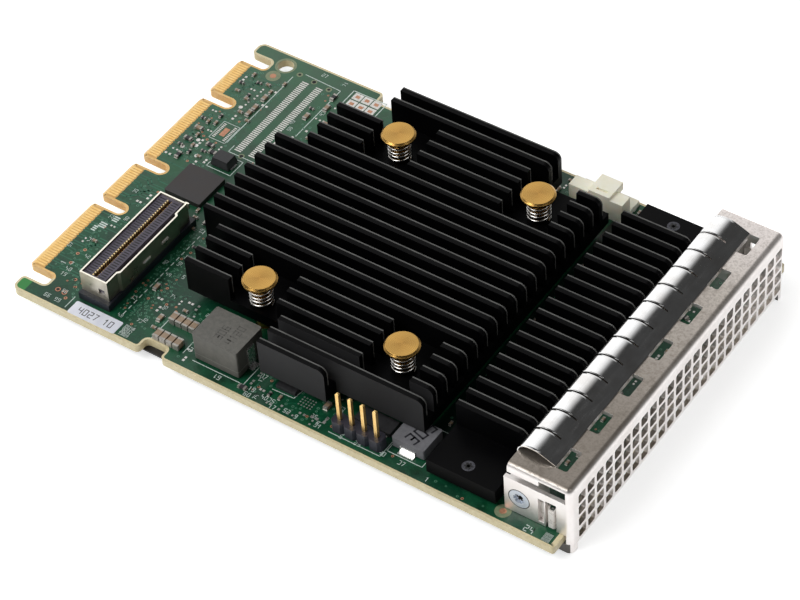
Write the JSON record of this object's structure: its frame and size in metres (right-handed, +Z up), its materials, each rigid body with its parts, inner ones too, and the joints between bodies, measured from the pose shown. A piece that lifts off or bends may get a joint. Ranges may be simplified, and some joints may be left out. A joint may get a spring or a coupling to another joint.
{
  "type": "raid controller card",
  "caption": "Storage controller card: finger-edged board with two finned heat sinks, sprung push pins, small connectors and a folded, vented faceplate.",
  "frame": {"origin": "centre of the bounding box in plan, at the height of the push pins' tips, on which the card rests", "axes": "+X from the contact edge towards the vented faceplate, +Y across the board towards the power connector, +Z up from the board's component side"},
  "size_m": [0.1164, 0.076, 0.0171],
  "materials": {
    "board_laminate": "green solder mask, satin",
    "contact_gold": "thin gold plating, bright",
    "insulator_film": "black film, satin",
    "plated_steel": "satin tin plating",
    "strip_steel": "bright rolled sheet",
    "screw_steel": "bright zinc plating",
    "black_anodised": "black anodised, satin",
    "chip_mould": "moulded, fine matt",
    "thermal_pad": "soft, matt",
    "connector_plastic": "moulded, satin",
    "connector_shell": "warm plating, bright",
    "ferrite": "pressed powder, matt",
    "tinned_copper": "tinned, bright",
    "capacitor_ceramic": "satin",
    "header_plastic": "moulded, satin gloss",
    "cream_plastic": "moulded, satin",
    "label_paper": "smooth, matt",
    "pin_brass": "turned, bright",
    "spring_steel": "drawn wire, bright"
  },
  "bodies": {
    "root": {"bracket_block_far": "plated_steel", "bracket_block_near": "plated_steel", "bracket_screw_far": "screw_steel", "bracket_screw_near": "screw_steel", "cable_connector_contacts": "contact_gold", "cable_connector_housing": "connector_plastic", "cable_connector_shell": "connector_shell", "capacitor_bodies": "capacitor_ceramic", "capacitor_ends": "tinned_copper", "circuit_board": "board_laminate", "controller_chip": "chip_mould", "controller_thermal_pad": "thermal_pad", "diode_leads": "tinned_copper", "edge_contacts_bottom": "contact_gold", "edge_contacts_top": "contact_gold", "emi_finger_strip": "strip_steel", "faceplate": "plated_steel", "flash_chip": "chip_mould", "flat_inductor_core": "ferrite", "flat_inductor_terminals": "tinned_copper", "front_heat_sink": "black_anodised", "front_sink_posts": "screw_steel", "front_sink_screw_1": "screw_steel", "front_sink_screw_2": "screw_steel", "front_thermal_pads": "thermal_pad", "insulator_sheet": "insulator_film", "large_inductor_core": "ferrite", "large_inductor_terminals": "tinned_copper", "main_heat_sink": "black_anodised", "memory_chips": "chip_mould", "memory_thermal_pads": "thermal_pad", "pin_header_base": "header_plastic", "pin_header_pins": "contact_gold", "pin_spring_1": "spring_steel", "pin_spring_2": "spring_steel", "pin_spring_3": "spring_steel", "pin_spring_4": "spring_steel", "port_label": "label_paper", "power_connector_housing": "cream_plastic", "power_connector_pins": "tinned_copper", "power_stage_chips": "chip_mould", "push_pin_1": "pin_brass", "push_pin_2": "pin_brass", "push_pin_3": "pin_brass", "push_pin_4": "pin_brass", "regulator_chip": "chip_mould", "side_spring_clip_far": "strip_steel", "side_spring_clip_near": "strip_steel", "small_diode": "chip_mould"}
  },
  "joints": []
}
